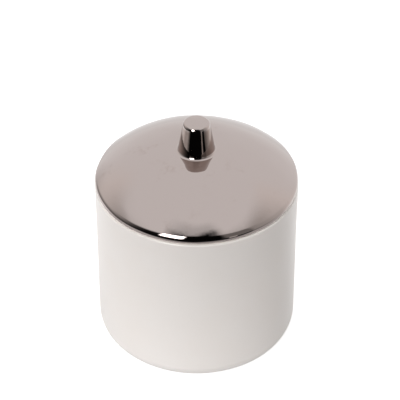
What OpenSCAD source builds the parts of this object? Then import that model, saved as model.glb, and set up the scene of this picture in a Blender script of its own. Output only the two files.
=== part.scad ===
// Lidded porcelain jar: a straight-sided jar, a loose domed lid with a locating ring, and a tapered knob.
// Millimetres, +Z up. The origin is the centre of the plane that the foot ring stands on.

/* [Jar] */
// Outside diameter of the jar
jar_d = 100; // [90:1:120]
// Height from the foot ring's underside to the rim
jar_h = 87.5; // [60:0.5:140]
// Thickness of the jar's wall
wall_t = 5; // [4.5:0.1:6]
// Thickness of the floor, above the recessed base
floor_t = 5.5; // [4:0.5:8]
// Radius of the rounded edge at the bottom, outside
base_edge_r = 8.5; // [7:0.5:12]
// Radius of the rounded corner at the bottom, inside
floor_edge_r = 8; // [4:0.5:10]
// Radius on each edge of the rim
rim_edge_r = 1.2; // [0.5:0.1:1.5]
// Width of the foot ring's flat face
foot_ring_w = 4; // [3:0.5:8]
// Depth of the recess inside the foot ring
foot_recess = 1.5; // [1:0.1:2]

/* [Lid] */
// Gap between the lid's seat and the rim, as glazed faces rest on their high spots
lid_gap = 0.3; // [0.2:0.1:0.5]
// Thickness of the dome
dome_t = 4.2; // [3.5:0.1:5]
// Radius of curvature of the flatter crown
crown_r = 165; // [140:5:180]
// Distance from the axis at which the crown turns into the shoulder
crown_edge = 15; // [13:1:18]
// Slope of the shoulder where it meets the rolled edge, in degrees
shoulder_slope = 41.5; // [38:0.5:42]
// Radius of the rolled edge above its widest line
edge_top_r = 3.8; // [3:0.1:4]
// Radius of the rolled edge below its widest line
edge_low_r = 1.5; // [1:0.1:2.5]

/* [Locating ring] */
// Clearance between the ring and the jar's mouth, each side
ring_clearance = 1.5; // [1:0.1:2]
// Thickness of the ring
ring_t = 3.5; // [3:0.1:4]
// Depth of the ring below the lid's seat
ring_h = 8; // [5:0.5:12]
// Radius on the ring's lower edges
ring_edge_r = 1.2; // [0.5:0.1:1.4]

/* [Knob] */
// Height of the knob above the dome, up to its rounded top edge
knob_h = 16.5; // [13:0.5:20]
// Radius of the tapered wall at the dome
knob_base_r = 9.1; // [8.5:0.1:9.6]
// Taper of the wall, in degrees
knob_taper = 9; // [5:0.5:10]
// Radius of the fillet between the wall and the dome
knob_fillet_r = 1.5; // [1:0.1:2]
// Radius on the knob's top edge
knob_edge_r = 2.1; // [1.5:0.1:2.3]
// Radius of curvature of the knob's top
knob_crown_r = 26; // [20:1:60]

/* [Hidden] */
$fn = 180;
// Angle between neighbouring points along a rounded edge
arc_step = 7.5;
// Angle between neighbouring points along the dome
dome_step = 1.5;

jar_r = jar_d / 2;
mouth_r = jar_r - wall_t;
floor_z = foot_recess + floor_t;
foot_out_r = jar_r - base_edge_r;
foot_in_r = foot_out_r - foot_ring_w;
foot_edge_r = foot_recess / 2;

seat_z = jar_h + lid_gap;
widest_z = seat_z + edge_low_r;
ring_out_r = mouth_r - ring_clearance;
ring_in_r = ring_out_r - ring_t;

// The dome's outline is a chain of tangent arcs: rolled edge, shoulder, crown.
crown_slope = asin(crown_edge / crown_r);
shoulder_end_r = jar_r - edge_top_r + edge_top_r * sin(shoulder_slope);
shoulder_end_z = widest_z + edge_top_r * cos(shoulder_slope);
shoulder_r = (shoulder_end_r - crown_edge) / (sin(shoulder_slope) - sin(crown_slope));
shoulder_c = [shoulder_end_r - shoulder_r * sin(shoulder_slope),
              shoulder_end_z - shoulder_r * cos(shoulder_slope)];
crown_c = [0, shoulder_c[1] - (crown_r - shoulder_r) * cos(crown_slope)];

// Where the dome's underside meets the inner wall of its thick edge
inner_shoulder_r = shoulder_r - dome_t;
inner_end_slope = asin((ring_in_r - shoulder_c[0]) / inner_shoulder_r);

// The knob's fillet is tangent to the flat seat on the dome and to the tapered wall.
knob_foot_r = knob_base_r + knob_fillet_r * tan((90 - knob_taper) / 2);
knob_foot_slope = asin(knob_foot_r / crown_r);
knob_z = crown_c[1] + crown_r * cos(knob_foot_slope);
// Centre of the top edge's rounding, tangent to the wall and to the domed top
knob_edge_z = knob_h - knob_edge_r;
knob_edge_c = knob_base_r - knob_edge_z * tan(knob_taper) - knob_edge_r / cos(knob_taper);
knob_top_slope = asin(knob_edge_c / (knob_crown_r - knob_edge_r));
knob_crown_z = knob_edge_z - (knob_crown_r - knob_edge_r) * cos(knob_top_slope);

// Points along an arc about c, from angle a0 to a1, no further apart than step degrees
function arc(c, r, a0, a1, step = arc_step) =
    let (n = max(1, ceil(abs(a1 - a0) / step)))
    [for (i = [0:n]) let (a = a0 + (a1 - a0) * i / n) [c[0] + r * cos(a), c[1] + r * sin(a)]];

// Jar: one piece of porcelain, from the recessed base round the outside and back down the inside
module jar_body() {
    color("whitesmoke") rotate_extrude() polygon(concat(
        [[0, foot_recess]],
        arc([foot_in_r - foot_edge_r, foot_recess - foot_edge_r], foot_edge_r, 90, 0),
        arc([foot_in_r + foot_edge_r, foot_edge_r], foot_edge_r, 180, 270),
        arc([jar_r - base_edge_r, base_edge_r], base_edge_r, -90, 0),
        arc([jar_r - rim_edge_r, jar_h - rim_edge_r], rim_edge_r, 0, 90),
        arc([mouth_r + rim_edge_r, jar_h - rim_edge_r], rim_edge_r, 90, 180),
        arc([mouth_r - floor_edge_r, floor_z + floor_edge_r], floor_edge_r, 0, -90),
        [[0, floor_z]]
    ));
}

// Dome: an even shell with a thick rolled edge, a flat land under it and a flat seat for the knob
module lid_dome() {
    color("silver") rotate_extrude() polygon(concat(
        [[ring_in_r, seat_z]],
        arc([jar_r - edge_low_r, widest_z], edge_low_r, -90, 0),
        arc([jar_r - edge_top_r, widest_z], edge_top_r, 0, 90 - shoulder_slope),
        arc(shoulder_c, shoulder_r, 90 - shoulder_slope, 90 - crown_slope, dome_step),
        arc(crown_c, crown_r, 90 - crown_slope, 90 - knob_foot_slope, dome_step),
        [[0, knob_z]],
        arc(crown_c, crown_r - dome_t, 90, 90 - crown_slope, dome_step),
        arc(shoulder_c, inner_shoulder_r, 90 - crown_slope, 90 - inner_end_slope, dome_step)
    ));
}

// Locating ring: hangs inside the jar's mouth and keeps the lid from sliding off
module lid_ring() {
    color("whitesmoke") rotate_extrude() polygon(concat(
        [[ring_in_r, seat_z]],
        arc([ring_in_r + ring_edge_r, seat_z - ring_h + ring_edge_r], ring_edge_r, 180, 270),
        arc([ring_out_r - ring_edge_r, seat_z - ring_h + ring_edge_r], ring_edge_r, -90, 0),
        [[ring_out_r, seat_z]]
    ));
}

// Knob: a solid tapered stub that flares into the dome
module lid_knob() {
    color("silver") translate([0, 0, knob_z]) rotate_extrude() polygon(concat(
        [[0, 0]],
        arc([knob_foot_r, knob_fillet_r], knob_fillet_r, 270, 180 + knob_taper),
        arc([knob_edge_c, knob_edge_z], knob_edge_r, knob_taper, 90 - knob_top_slope),
        arc([0, knob_crown_z], knob_crown_r, 90 - knob_top_slope, 90)
    ));
}

jar_body();
lid_dome();
lid_ring();
lid_knob();
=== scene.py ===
import math

import bmesh
import bpy
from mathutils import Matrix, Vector, noise


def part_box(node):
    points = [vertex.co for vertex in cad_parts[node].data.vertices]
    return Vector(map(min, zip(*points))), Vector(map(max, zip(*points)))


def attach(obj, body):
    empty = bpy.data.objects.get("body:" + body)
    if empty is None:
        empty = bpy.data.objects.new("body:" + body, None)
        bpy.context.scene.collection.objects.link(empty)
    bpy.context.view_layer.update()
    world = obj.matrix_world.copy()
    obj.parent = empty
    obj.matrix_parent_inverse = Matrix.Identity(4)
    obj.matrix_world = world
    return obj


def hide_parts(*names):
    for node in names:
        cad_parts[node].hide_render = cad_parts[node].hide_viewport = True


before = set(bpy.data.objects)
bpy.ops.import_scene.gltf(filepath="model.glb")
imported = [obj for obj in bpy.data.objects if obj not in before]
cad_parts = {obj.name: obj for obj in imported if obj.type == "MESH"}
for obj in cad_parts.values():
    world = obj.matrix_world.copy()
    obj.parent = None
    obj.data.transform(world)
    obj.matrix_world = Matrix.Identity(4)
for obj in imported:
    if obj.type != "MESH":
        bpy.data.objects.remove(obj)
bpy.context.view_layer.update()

MM = 0.001

# ---------------------------------------------------------------- sizes
# Boxes come from the parts in model.glb. The rest are the CAD's own dimensions.
_, jar_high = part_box("jar_body")
dome_low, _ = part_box("lid_dome")
ring_low, ring_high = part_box("lid_ring")
knob_low, knob_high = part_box("lid_knob")

jar_r = jar_high.x
jar_h = jar_high.z
seat_z = dome_low.z
ring_out_r = ring_high.x
ring_bottom_z = ring_low.z
knob_seat_z = knob_low.z
knob_top_z = knob_high.z

wall_t = 5 * MM
base_edge_r = 8.5 * MM
floor_edge_r = 8 * MM
rim_edge_r = 1.2 * MM
foot_ring_w = 4 * MM
foot_recess = 1.5 * MM
floor_z = 7 * MM

dome_t = 4.2 * MM
crown_r = 165 * MM
crown_edge = 15 * MM
shoulder_slope = 41.5
edge_top_r = 3.8 * MM
edge_low_r = 1.5 * MM

ring_t = 3.5 * MM
ring_edge_r = 1.2 * MM

knob_base_r = 9.1 * MM
knob_taper = 9
knob_fillet_r = 1.5 * MM
knob_edge_r = 2.1 * MM
knob_crown_r = 26 * MM

SEGMENTS = 320  # round the axis
SHARP_ANGLE = 35  # edges above this stay sharp
SAME_POINT = 1e-7  # closer than this is one point, or on the axis
ROUNDS = 20  # of the two searches for where a fillet's centre lies


# ---------------------------------------------------------------- outlines
# An outline is a list of (radius, height) points, and angles are in degrees.
def sin(a):
    return math.sin(math.radians(a))


def cos(a):
    return math.cos(math.radians(a))


def tan(a):
    return math.tan(math.radians(a))


def arc(centre, r, a0, a1, step):
    """Points along an arc about centre, from angle a0 to a1 in degrees."""
    n = max(1, math.ceil(abs(a1 - a0) / step))
    angles = [a0 + (a1 - a0) * i / n for i in range(n + 1)]
    return [(centre[0] + r * cos(a), centre[1] + r * sin(a)) for a in angles]


def line(a, b, step=4 * MM):
    """Points along a straight stretch, ends included."""
    n = max(1, math.ceil(math.dist(a, b) / step))
    shares = [i / n for i in range(n + 1)]
    return [(a[0] + (b[0] - a[0]) * t, a[1] + (b[1] - a[1]) * t) for t in shares]


def chain(*stretches):
    """Joins stretches into one outline and drops repeated points."""
    out = []
    for p in (p for s in stretches for p in s):
        if not out or math.dist(p, out[-1]) > SAME_POINT:
            out.append(p)
    return out


# ---------------------------------------------------------------- meshes
def lathe(name, outline, closed=False):
    """Turns an outline about Z. A point on the axis becomes a pole, and closed joins the last
    point to the first."""
    mesh = bpy.data.meshes.new(name)
    bm = bmesh.new()
    rings = []
    for r, z in outline:
        if r < SAME_POINT:
            rings.append([bm.verts.new((0, 0, z))])
        else:
            turn = [2 * math.pi * k / SEGMENTS for k in range(SEGMENTS)]
            rings.append([bm.verts.new((r * math.cos(t), r * math.sin(t), z)) for t in turn])
    pairs = list(zip(rings, rings[1:]))
    if closed:
        pairs.append((rings[-1], rings[0]))
    for low, high in pairs:
        for k in range(SEGMENTS):
            n = (k + 1) % SEGMENTS
            if len(low) == 1 and len(high) == 1:
                continue
            if len(low) == 1:
                bm.faces.new((low[0], high[n], high[k]))
            elif len(high) == 1:
                bm.faces.new((low[k], low[n], high[0]))
            else:
                bm.faces.new((low[k], low[n], high[n], high[k]))
    bmesh.ops.recalc_face_normals(bm, faces=bm.faces)
    for e in bm.edges:
        e.smooth = len(e.link_faces) == 2 and e.calc_face_angle() < math.radians(SHARP_ANGLE)
    for f in bm.faces:
        f.smooth = True
    bm.to_mesh(mesh)
    bm.free()
    obj = bpy.data.objects.new(name, mesh)
    bpy.context.scene.collection.objects.link(obj)
    return obj


def rise(value, low, high):
    """0 at low, 1 at high, smooth between them."""
    t = min(1.0, max(0.0, (value - low) / (high - low)))
    return t * t * (3 - 2 * t)


def uneven(obj, depth, grain, seed, share):
    """Moves the surface inwards by up to depth, in smooth patches grain across, as casting and
    glazing leave it. share says how much of that a place gets: none where two faces meet."""
    shift = Vector((seed, 2 * seed, 3 * seed))
    normals = [v.normal.copy() for v in obj.data.vertices]
    for v, normal in zip(obj.data.vertices, normals):
        wave = noise.noise(v.co / grain + shift)
        v.co -= normal * depth * rise(wave, -0.5, 0.5) * share(v.co)


# ---------------------------------------------------------------- the jar
mouth_r = jar_r - wall_t
foot_out_r = jar_r - base_edge_r
foot_in_r = foot_out_r - foot_ring_w
foot_edge_r = foot_recess / 2


def make_jar():
    outline = chain(
        line((0, foot_recess), (foot_in_r - foot_edge_r, foot_recess)),
        arc((foot_in_r - foot_edge_r, foot_recess - foot_edge_r), foot_edge_r, 90, 0, 10),
        arc((foot_in_r + foot_edge_r, foot_edge_r), foot_edge_r, 180, 270, 10),
        line((foot_in_r + foot_edge_r, 0), (foot_out_r, 0), 1 * MM),
        arc((jar_r - base_edge_r, base_edge_r), base_edge_r, -90, 0, 2),
        line((jar_r, base_edge_r), (jar_r, jar_h - rim_edge_r), 2 * MM),
        arc((jar_r - rim_edge_r, jar_h - rim_edge_r), rim_edge_r, 0, 90, 6),
        arc((mouth_r + rim_edge_r, jar_h - rim_edge_r), rim_edge_r, 90, 180, 6),
        line((mouth_r, jar_h - rim_edge_r), (mouth_r, floor_z + floor_edge_r), 2 * MM),
        arc((mouth_r - floor_edge_r, floor_z + floor_edge_r), floor_edge_r, 0, -90, 3),
        line((mouth_r - floor_edge_r, floor_z), (0, floor_z)),
    )
    return lathe("jar_body_glazed", outline)


# ---------------------------------------------------------------- the lid
widest_z = seat_z + edge_low_r
crown_slope = math.degrees(math.asin(crown_edge / crown_r))
shoulder_end = (
    jar_r - edge_top_r + edge_top_r * sin(shoulder_slope),
    widest_z + edge_top_r * cos(shoulder_slope),
)
shoulder_r = (shoulder_end[0] - crown_edge) / (sin(shoulder_slope) - sin(crown_slope))
shoulder_c = (
    shoulder_end[0] - shoulder_r * sin(shoulder_slope),
    shoulder_end[1] - shoulder_r * cos(shoulder_slope),
)
crown_c = (0, shoulder_c[1] - (crown_r - shoulder_r) * cos(crown_slope))
ring_in_r = ring_out_r - ring_t
inner_shoulder_r = shoulder_r - dome_t
inner_end_slope = math.degrees(math.asin((ring_in_r - shoulder_c[0]) / inner_shoulder_r))
inner_edge_z = shoulder_c[1] + inner_shoulder_r * cos(inner_end_slope)


def wall_radius(height):
    """Radius of the knob's tapered wall at a height above its seat."""
    return knob_base_r - height * tan(knob_taper)


def knob_fillet_centre():
    """Centre of the fillet that touches the crown from above and the knob's wall from outside."""
    height = knob_fillet_r
    for _ in range(ROUNDS):
        r = wall_radius(height) + knob_fillet_r / cos(knob_taper)
        height = crown_c[1] + math.sqrt((crown_r + knob_fillet_r) ** 2 - r * r) - knob_seat_z
    return (r, knob_seat_z + height)


fillet_c = knob_fillet_centre()
foot_angle = math.degrees(math.atan2(fillet_c[1] - crown_c[1], fillet_c[0]))
knob_foot = (crown_r * cos(foot_angle), crown_c[1] + crown_r * sin(foot_angle))


def make_dome():
    outline = chain(
        line((ring_in_r, seat_z), (jar_r - edge_low_r, seat_z), 1 * MM),
        arc((jar_r - edge_low_r, widest_z), edge_low_r, -90, 0, 3),
        arc((jar_r - edge_top_r, widest_z), edge_top_r, 0, 90 - shoulder_slope, 2),
        arc(shoulder_c, shoulder_r, 90 - shoulder_slope, 90 - crown_slope, 0.5),
        arc(crown_c, crown_r, 90 - crown_slope, foot_angle, 0.5),
        line(knob_foot, (0, knob_seat_z), 2 * MM),
        arc(crown_c, crown_r - dome_t, 90, 90 - crown_slope, 1),
        arc(shoulder_c, inner_shoulder_r, 90 - crown_slope, 90 - inner_end_slope, 1),
        line((ring_in_r, inner_edge_z), (ring_in_r, seat_z), 1 * MM)[:-1],
    )
    return lathe("lid_dome_lustred", outline, closed=True)


def make_ring():
    low = ring_bottom_z + ring_edge_r
    outline = chain(
        line((ring_in_r, seat_z), (ring_in_r, low), 1 * MM),
        arc((ring_in_r + ring_edge_r, low), ring_edge_r, 180, 270, 6),
        arc((ring_out_r - ring_edge_r, low), ring_edge_r, -90, 0, 6),
        line((ring_out_r, low), (ring_out_r, seat_z), 1 * MM),
    )
    return lathe("lid_ring_white", outline, closed=True)


def make_knob():
    edge_z = knob_edge_height()
    edge_c = wall_radius(edge_z - knob_seat_z) - knob_edge_r / cos(knob_taper)
    top_slope = math.degrees(math.asin(edge_c / (knob_crown_r - knob_edge_r)))
    outline = chain(
        line((0, knob_seat_z), knob_foot, 2 * MM),
        arc(fillet_c, knob_fillet_r, foot_angle + 180, 180 + knob_taper, 1.5),
        arc((edge_c, edge_z), knob_edge_r, knob_taper, 90 - top_slope, 2),
        arc((0, knob_top_z - knob_crown_r), knob_crown_r, 90 - top_slope, 90, 1),
    )
    return lathe("lid_knob_lustred", outline)


def knob_edge_height():
    """Height of the centre of the knob's top rounding, so that the top ends at the CAD's height."""
    height = knob_top_z - knob_edge_r
    for _ in range(ROUNDS):
        r = wall_radius(height - knob_seat_z) - knob_edge_r / cos(knob_taper)
        height = knob_top_z - knob_crown_r + math.sqrt((knob_crown_r - knob_edge_r) ** 2 - r * r)
    return height


# ---------------------------------------------------------------- materials
def new_material(name):
    mat = bpy.data.materials.new(name)
    mat.use_nodes = True
    nodes = mat.node_tree.nodes
    nodes.clear()
    out = nodes.new("ShaderNodeOutputMaterial")
    bsdf = nodes.new("ShaderNodeBsdfPrincipled")
    mat.node_tree.links.new(bsdf.outputs["BSDF"], out.inputs["Surface"])
    return mat, bsdf


class Maths:
    """Builds chains of shader nodes in one tree."""

    def __init__(self, tree):
        self.tree = tree

    def new(self, kind, **sockets):
        """A node with the named sockets set or linked."""
        node = self.tree.nodes.new(kind)
        for name, value in sockets.items():
            self.put(node.inputs[name], value)
        return node

    def put(self, socket, value):
        if isinstance(value, bpy.types.NodeSocket):
            self.tree.links.new(value, socket)
        else:
            socket.default_value = value

    def op(self, kind, a, b=None):
        node = self.tree.nodes.new("ShaderNodeMath")
        node.operation = kind
        self.put(node.inputs[0], a)
        if b is not None:
            self.put(node.inputs[1], b)
        return node.outputs[0]

    def ramp(self, value, low, high):
        """0 at low, 1 at high, smooth between them."""
        node = self.tree.nodes.new("ShaderNodeMapRange")
        node.interpolation_type = "SMOOTHSTEP"
        if low < high:
            ends = (low, high, 0, 1)
        else:
            ends = (high, low, 1, 0)
        for name, end in zip(("From Min", "From Max", "To Min", "To Max"), ends):
            node.inputs[name].default_value = end
        self.tree.links.new(value, node.inputs["Value"])
        return node.outputs["Result"]

    def times(self, *values):
        out = values[0]
        for v in values[1:]:
            out = self.op("MULTIPLY", out, v)
        return out

    def mix(self, share, a, b):
        """a where share is 0, b where it is 1."""
        inverse = self.op("SUBTRACT", 1.0, share)
        return self.op("ADD", self.op("MULTIPLY", a, inverse), self.op("MULTIPLY", b, share))

    def split(self, kind):
        """A texture coordinate's x, y and z, and the whole vector."""
        where = self.tree.nodes.new("ShaderNodeTexCoord").outputs[kind]
        parts = self.new("ShaderNodeSeparateXYZ", Vector=where).outputs
        return parts[0], parts[1], parts[2], where

    def place(self):
        """The point on the piece, in metres: its height and the whole vector."""
        return self.split("Object")[2:]

    def join(self, kind, *values):
        """The output of a node whose inputs are values, in order."""
        node = self.tree.nodes.new(kind)
        for socket, value in zip(node.inputs, values):
            self.put(socket, value)
        return node.outputs[0]

    def by_ray(self, seen, other):
        """Shader seen for what the camera sees directly, and other for every other ray."""
        path = self.tree.nodes.new("ShaderNodeLightPath")
        return self.join("ShaderNodeMixShader", path.outputs["Is Camera Ray"], other, seen)

    def noise(self, where, size, detail=2.0):
        """Smooth noise around 0.5, in patches about size across."""
        node = self.new("ShaderNodeTexNoise", Vector=where, Scale=1 / size, Detail=detail)
        return node.outputs[0]

    def blend(self, share, a, b):
        """Colour a where share is 0, b where it is 1."""
        node = self.tree.nodes.new("ShaderNodeMix")
        node.data_type = "RGBA"
        self.put(node.inputs[0], share)
        self.put(node.inputs[6], a)
        self.put(node.inputs[7], b)
        return node.outputs[2]

    def bump(self, height, depth):
        """Normals of a surface whose height moves by depth metres."""
        node = self.new("ShaderNodeBump", Height=height, Distance=depth)
        return node.outputs[0]


GLAZE = (0.868, 0.822, 0.79, 1)
GLAZE_DEEP = (0.85, 0.788, 0.742, 1)
SPECK = (0.28, 0.2, 0.15, 1)
METAL = (0.48, 0.416, 0.396, 1)
METAL_DULL = (0.43, 0.36, 0.335, 1)
# painted shade: darker, browner metal for the band on the knob's wall
METAL_PAINTED_SHADE = (0.33, 0.262, 0.236, 1)
BISQUE = (0.74, 0.69, 0.63, 1)


def porcelain(name, roughness, specks):
    """White glaze: slightly uneven in tone and gloss, with a few pinholes."""
    mat, bsdf = new_material(name)
    m = Maths(mat.node_tree)
    _, where = m.place()
    tone = m.ramp(m.noise(where, 22 * MM, 3.0), 0.35, 0.75)
    colour = m.blend(m.times(tone, 0.35), GLAZE, GLAZE_DEEP)
    if specks:
        cells = m.new("ShaderNodeTexVoronoi", Vector=where, Scale=1 / (26 * MM))
        dot = m.ramp(cells.outputs["Distance"], 0.016, 0.008)
        colour = m.blend(m.times(dot, 0.6), colour, SPECK)
    m.put(bsdf.inputs["Base Color"], colour)
    gloss = m.mix(m.noise(where, 9 * MM), roughness - 0.04, roughness + 0.05)
    m.put(bsdf.inputs["Roughness"], gloss)
    m.put(bsdf.inputs["Normal"], m.bump(m.noise(where, 3.5 * MM), 0.03 * MM))
    bsdf.inputs["IOR"].default_value = 1.5
    return mat


def bisque(name):
    """Unglazed porcelain, as on the ring the jar is fired on."""
    mat, bsdf = new_material(name)
    m = Maths(mat.node_tree)
    _, where = m.place()
    grain = m.noise(where, 0.6 * MM, 4.0)
    m.put(bsdf.inputs["Base Color"], m.blend(m.ramp(grain, 0.3, 0.7), BISQUE, GLAZE_DEEP))
    m.put(bsdf.inputs["Normal"], m.bump(grain, 0.04 * MM))
    bsdf.inputs["Roughness"].default_value = 0.85
    return mat


def lustre(name, edge_z=None, shade_band=None):
    """Fired metal lustre over glaze: a mirror with faint smudges. Below edge_z the bare glaze
    shows, along an uneven line.
    Between two given heights it is painted darker and browner, in streaks: painted shade, which
    stands in for the dark reflection on the knob's wall and for its browner reflection in the lid."""
    mat, bsdf = new_material(name)
    m = Maths(mat.node_tree)
    z, where = m.place()
    large = m.ramp(m.noise(where, 11 * MM, 4.0), 0.55, 0.8)
    small = m.ramp(m.noise(where, 3 * MM, 3.0), 0.4, 0.7)
    smudge = m.times(large, small)
    colour = m.blend(smudge, METAL, METAL_DULL)
    gloss = m.mix(smudge, 0.03, 0.12)
    if shade_band is not None:
        low, high = shade_band
        # Painted shade: a darker, browner band on the knob's wall, standing in for its dark
        # reflection and its browner reflection in the lid.
        streaks = m.ramp(m.noise(where, 2.5 * MM, 3.0), 0.25, 0.6)
        above = m.ramp(z, low - 0.4 * MM, low + 0.4 * MM)
        below = m.ramp(z, high, high - 1.5 * MM)
        painted_shade = m.times(above, below, m.mix(streaks, 0.75, 1.0))
        colour = m.blend(painted_shade, colour, METAL_PAINTED_SHADE)
    if edge_z is None:
        bsdf.inputs["Metallic"].default_value = 1.0
    else:
        line_z = m.op("ADD", m.times(m.noise(where, 7 * MM), 0.5 * MM), edge_z - 0.25 * MM)
        bare = m.ramp(m.op("SUBTRACT", z, line_z), 0.06 * MM, -0.06 * MM)
        colour = m.blend(bare, colour, GLAZE_DEEP)
        gloss = m.mix(bare, gloss, 0.25)
        m.put(bsdf.inputs["Metallic"], m.op("SUBTRACT", 1.0, bare))
    m.put(bsdf.inputs["Base Color"], colour)
    m.put(bsdf.inputs["Roughness"], gloss)
    m.put(bsdf.inputs["Normal"], m.bump(m.noise(where, 2.2 * MM, 1.0), 0.012 * MM))
    return mat


# ---------------------------------------------------------------- pieces
def reach(point):
    """Distance from the axis."""
    return math.hypot(point.x, point.y)


def paint(obj, *mats):
    for mat in mats:
        obj.data.materials.append(mat)


def recolour(obj, slot, test):
    """Gives the faces for which test(centre, normal) holds the material in that slot."""
    for face in obj.data.polygons:
        if test(face.center, face.normal):
            face.material_index = slot


glaze = porcelain("glaze_satin", 0.3, True)
glaze_inside = porcelain("glaze_plain", 0.22, False)
foot = bisque("foot_bisque")
foot_face_z = 0.4 * MM
facing_down = -0.2
lustre_line_z = seat_z + 0.45 * MM
# Painted shade on the knob's wall, from just above its foot to just below its top.
shaded_knob_wall = (knob_foot[1] + 1.3 * MM, knob_top_z - 2 * MM)
metal = lustre("metal_lustre", shade_band=shaded_knob_wall)
metal_edge = lustre("metal_lustre_edge", edge_z=lustre_line_z)

jar = make_jar()
paint(jar, glaze, foot)
recolour(jar, 1, lambda c, n: c.z < foot_face_z)


def jar_share(c):
    """Leaves the foot and the rim true, because something stands or rests there."""
    return rise(c.z, 0, 4 * MM) * (1 - rise(c.z, jar_h - 6 * MM, jar_h - 2 * MM))


uneven(jar, 0.14 * MM, 26 * MM, 3.1, jar_share)
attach(jar, "jar")
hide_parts("jar_body")

dome = make_dome()
paint(dome, metal_edge, glaze_inside)
recolour(dome, 1, lambda c, n: n.z < facing_down and reach(c) < jar_r - edge_low_r)


def dome_share(c):
    """Leaves the seat and the place under the knob true."""
    return rise(c.z, seat_z, seat_z + 1.5 * MM) * rise(reach(c), 11 * MM, 17 * MM)


uneven(dome, 0.16 * MM, 13 * MM, 7.3, dome_share)
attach(dome, "lid")
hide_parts("lid_dome")

ring = make_ring()
paint(ring, glaze_inside)
uneven(ring, 0.1 * MM, 12 * MM, 1.7, lambda c: 1 - rise(c.z, seat_z - 3 * MM, seat_z))
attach(ring, "lid")
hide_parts("lid_ring")

knob = make_knob()
paint(knob, metal)
knob_true_z = knob_seat_z + 1 * MM
uneven(knob, 0.2 * MM, 5.5 * MM, 5.9, lambda c: rise(c.z, knob_true_z, knob_true_z + 4 * MM))
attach(knob, "lid")
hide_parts("lid_knob")


# ---------------------------------------------------------------- light
# A world that is bright above and behind, and dark round the camera. It stays fixed to the object.
# Azimuth is 0 on the photographer's side and positive to the right. Angles are in degrees.
SKY = 1.0
HORIZON = 1.02
BLACK = 0.004  # the room straight ahead
DIM_WALL = 0.24  # a wall to the right
WALL_GLOW = 0.19  # more light, further round to the right
STRIPE = 0.45  # a narrow gap between two dark things
LEFT_BLACK = 0.01
LEFT_LOW = 0.35  # share of the light that is left low down on the left
FRONT_SHADE = 0.26  # share of the sky that is shaded high up in front
BOX = 10.5  # a soft box, in front and to the left
ROOM_TINT = (1.0, 0.965, 0.94, 1)
WHITE = (1, 1, 1, 1)

FLOOR_LEFT = 0.72
FLOOR_RIGHT = 0.6
FLOOR_NEAR = 1.15
FLOOR_BACK = 0.96
FLOOR_GREY = (0.85, 0.85, 0.85, 1)
FLOOR_SEEN = 0.5  # glow that makes the floor come out white to the camera
FLOOR_GAP = 0.05 * MM  # below the foot ring, so that two faces don't coincide
FLOOR_SIDES = (-0.31, 0.24)
FLOOR_ENDS = (-0.25, 1.5)


def room_light(m, az, el):
    """Light from the unlit room: black in front, a wall to the right, falling light to the left."""
    ahead = m.mix(m.times(m.ramp(az, 24, 33), m.ramp(el, -16, -4)), BLACK, DIM_WALL)
    right = m.mix(m.ramp(az, 56, 120), ahead, SKY)
    right = m.op("ADD", right, m.times(m.ramp(az, 57, 62), m.ramp(az, 100, 62), WALL_GLOW))
    stripe = m.times(m.ramp(az, 32, 34), m.ramp(az, 42, 40), m.ramp(el, 0, -6), STRIPE)
    right = m.op("ADD", right, stripe)
    left = m.mix(m.ramp(az, -50, -135), LEFT_BLACK, SKY)
    left = m.op("MULTIPLY", left, m.mix(m.ramp(el, -10, 20), LEFT_LOW, 1.0))
    return m.mix(m.ramp(az, -20, -50), right, left)


def room_share(m, az, el):
    """1 where the room is, 0 where the bright sky is. Its upper edge is higher in front."""
    left = m.ramp(el, 50, 28)
    front = m.mix(m.ramp(el, 62.5, 56), m.times(m.ramp(el, 74, 62), FRONT_SHADE), 1.0)
    right = m.ramp(el, 57, 40)
    top = m.mix(m.ramp(az, -20, -50), m.mix(m.ramp(az, 15, 45), front, right), left)
    return m.times(m.ramp(az, -150, -125), m.ramp(az, 135, 110), top)


def make_world():
    world = bpy.data.worlds.new("studio")
    bpy.context.scene.world = world
    world.use_nodes = True
    tree = world.node_tree
    tree.nodes.clear()
    m = Maths(tree)
    x, y, z, _ = m.split("Generated")
    az = m.op("DEGREES", m.op("ARCTAN2", x, m.op("MULTIPLY", y, -1.0)))
    el = m.op("DEGREES", m.op("ARCSINE", z))

    sky = m.mix(m.ramp(el, 26, 0), SKY, HORIZON)
    room = room_light(m, az, el)
    in_room = room_share(m, az, el)
    box_wide = m.times(m.ramp(az, -42, -37), m.ramp(az, -14, -19))
    box = m.times(box_wide, m.ramp(el, 4, 24), m.ramp(el, 54, 40), BOX)

    def background(colour, strength):
        return m.new("ShaderNodeBackground", Color=colour, Strength=strength).outputs[0]

    open_sky = m.times(m.op("SUBTRACT", 1.0, in_room), sky)
    bright = background(WHITE, m.op("ADD", open_sky, box))
    dim = background(ROOM_TINT, m.times(in_room, room))
    both = m.join("ShaderNodeAddShader", bright, dim)
    out = tree.nodes.new("ShaderNodeOutputWorld")
    tree.links.new(m.by_ray(background(WHITE, 1.0), both), out.inputs["Surface"])


make_world()


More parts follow.
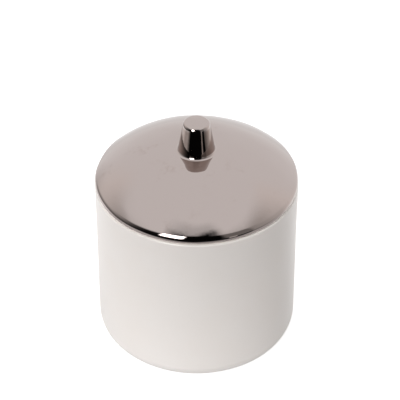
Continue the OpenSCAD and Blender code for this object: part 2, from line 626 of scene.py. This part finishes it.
# ---------------------------------------------------------------- floor
def make_floor():
    """A pale table top that looks evenly white. It lights the jar most from behind."""
    mesh = bpy.data.meshes.new("floor")
    bm = bmesh.new()
    (left, right), (front, back) = FLOOR_SIDES, FLOOR_ENDS
    corners = [(left, front), (right, front), (right, back), (left, back)]
    bm.faces.new([bm.verts.new((x, y, -FLOOR_GAP)) for x, y in corners])
    bm.to_mesh(mesh)
    bm.free()
    obj = bpy.data.objects.new("floor", mesh)
    bpy.context.scene.collection.objects.link(obj)

    mat, bsdf = new_material("floor_white")
    bsdf.inputs["Base Color"].default_value = FLOOR_GREY
    bsdf.inputs["Roughness"].default_value = 0.9
    bsdf.inputs["Specular IOR Level"].default_value = 0.0
    bsdf.inputs["Emission Color"].default_value = WHITE
    bsdf.inputs["Emission Strength"].default_value = FLOOR_SEEN

    tree = mat.node_tree
    m = Maths(tree)
    x, y, _, _ = m.split("Object")
    across = m.mix(m.ramp(x, -0.1, 0.1), FLOOR_LEFT, FLOOR_RIGHT)
    near = m.times(across, m.ramp(y, -0.24, -0.1))
    far = m.mix(m.ramp(y, 0.1, 0.3), FLOOR_NEAR, FLOOR_BACK)
    glow = m.new("ShaderNodeEmission", Strength=m.mix(m.ramp(y, -0.03, 0.08), near, far))
    surface = m.by_ray(bsdf.outputs["BSDF"], glow.outputs[0])
    tree.links.new(surface, tree.nodes["Material Output"].inputs["Surface"])
    obj.data.materials.append(mat)


make_floor()


# ---------------------------------------------------------------- camera
view_distance = 0.95
view_elevation = 37.84
lens = 173.6
sensor = 36
view_centre = Vector((0, 0, 86 * MM))
aim = view_centre + Vector((1.7 * MM, 0, -10.5 * MM))


def make_camera():
    data = bpy.data.cameras.new("camera")
    cam = bpy.data.objects.new("camera", data)
    bpy.context.scene.collection.objects.link(cam)
    data.lens = lens
    data.sensor_width = sensor
    towards = Vector((0, -cos(view_elevation), sin(view_elevation)))
    cam.location = view_centre + view_distance * towards
    cam.rotation_mode = "QUATERNION"
    cam.rotation_quaternion = (aim - cam.location).to_track_quat("-Z", "Y")
    bpy.context.scene.camera = cam


make_camera()
bpy.context.scene.view_settings.view_transform = "Standard"
